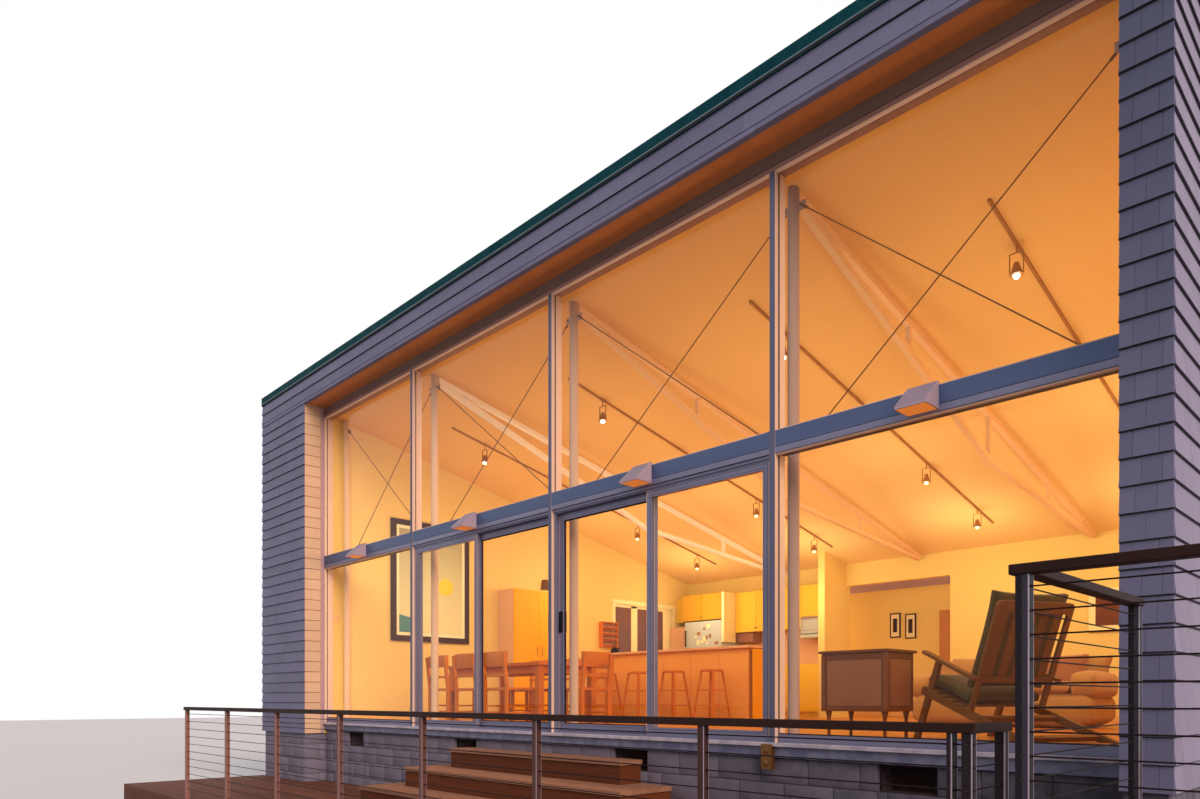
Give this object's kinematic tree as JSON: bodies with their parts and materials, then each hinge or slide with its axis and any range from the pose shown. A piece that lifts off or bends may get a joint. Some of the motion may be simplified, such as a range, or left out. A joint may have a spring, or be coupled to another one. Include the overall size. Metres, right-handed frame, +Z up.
{
  "type": "single-storey beach house",
  "caption": "Shed-roofed beach house with a tall glazed front, sliding doors, steel-framed great room, shingled walls, deck with steps and cable rails.",
  "frame": {"origin": "on the ground under the middle of the whole building with its deck and landing", "axes": "+X along the front to the right as seen from outside, +Y towards the back, +Z up"},
  "size_m": [12.465, 11.75, 5.8658],
  "materials": {
    "block_grey": "painted concrete block",
    "floor_wood": "oiled boards",
    "trim_grey": "painted boards",
    "sill_white": "painted",
    "shingle_grey": "painted cedar shingles",
    "inner_wall": "painted plaster",
    "roof_green": "coated metal",
    "frame_metal": "anodised",
    "transom_metal": "anodised",
    "clear_glass": "clear",
    "handle_black": "powder coated",
    "steel_white": "painted",
    "rod_steel": "bare steel",
    "light_metal": "cast, painted",
    "deck_wood": "weathered boards",
    "cap_wood": "dark stained",
    "post_steel": "stainless",
    "maple": "lacquered",
    "furniture_wood": "lacquered",
    "dark_wood": "old varnish",
    "white_enamel": "enamel",
    "sofa_fabric": "woven cover",
    "cushion_fabric": "woven cover",
    "picture_black": "painted frame"
  },
  "bodies": {
    "house": {"foundation_front": "block_grey", "foundation_wing": "block_grey", "foundation_sides": "block_grey", "foundation_back": "block_grey", "floor_platform": "floor_wood", "trim_boards": "trim_grey", "window_sill": "sill_white", "wing_wall": "shingle_grey", "left_wall": "shingle_grey", "right_wall": "shingle_grey", "back_wall": "shingle_grey", "room_side_wall": "inner_wall", "room_partition": "inner_wall", "front_fascia": "shingle_grey", "soffit": "trim_grey", "roof_deck": "inner_wall", "roof_sheet": "roof_green", "roof_edge": "roof_green", "mullions": "frame_metal", "transoms": "transom_metal", "window_head": "frame_metal", "sill_rails": "frame_metal", "upper_glass": "clear_glass", "lower_glass": "clear_glass", "side_window": "sill_white", "door_frames": "frame_metal", "fixed_panels": "frame_metal", "steel_columns": "steel_white", "cross_braces": "rod_steel", "roof_trusses": "steel_white", "wall_lights": "light_metal", "ceiling_lights": "steel_white", "deck_boards": "deck_wood", "deck_joists": "deck_wood", "deck_posts": "deck_wood", "lower_step": "deck_wood", "middle_step": "deck_wood", "upper_step": "deck_wood", "rail_posts": "post_steel", "cap_rails": "cap_wood", "rail_cables": "post_steel", "landing_deck": "deck_wood", "bar_counter": "maple", "bar_stools": "furniture_wood", "kitchen_cabinets": "maple", "kitchen_appliances": "white_enamel", "tall_cabinets": "maple", "dining_table": "furniture_wood", "dining_chairs": "furniture_wood", "sideboard": "dark_wood", "lounge_chair": "dark_wood", "lounge_cushions": "cushion_fabric", "sofa": "sofa_fabric", "picture_frames": "picture_black"},
    "left_door": {"left_door_sash": "frame_metal", "left_door_glass": "clear_glass", "left_door_handle": "handle_black"},
    "right_door": {"right_door_sash": "frame_metal", "right_door_glass": "clear_glass", "right_door_handle": "handle_black"}
  },
  "joints": [
    {"name": "left_door_slide", "type": "slide", "parent": "house", "child": "left_door", "axis": [-1, 0, 0], "range_m": [0, 1.1]},
    {"name": "right_door_slide", "type": "slide", "parent": "house", "child": "right_door", "axis": [1, 0, 0], "range_m": [0, 1.1]}
  ]
}
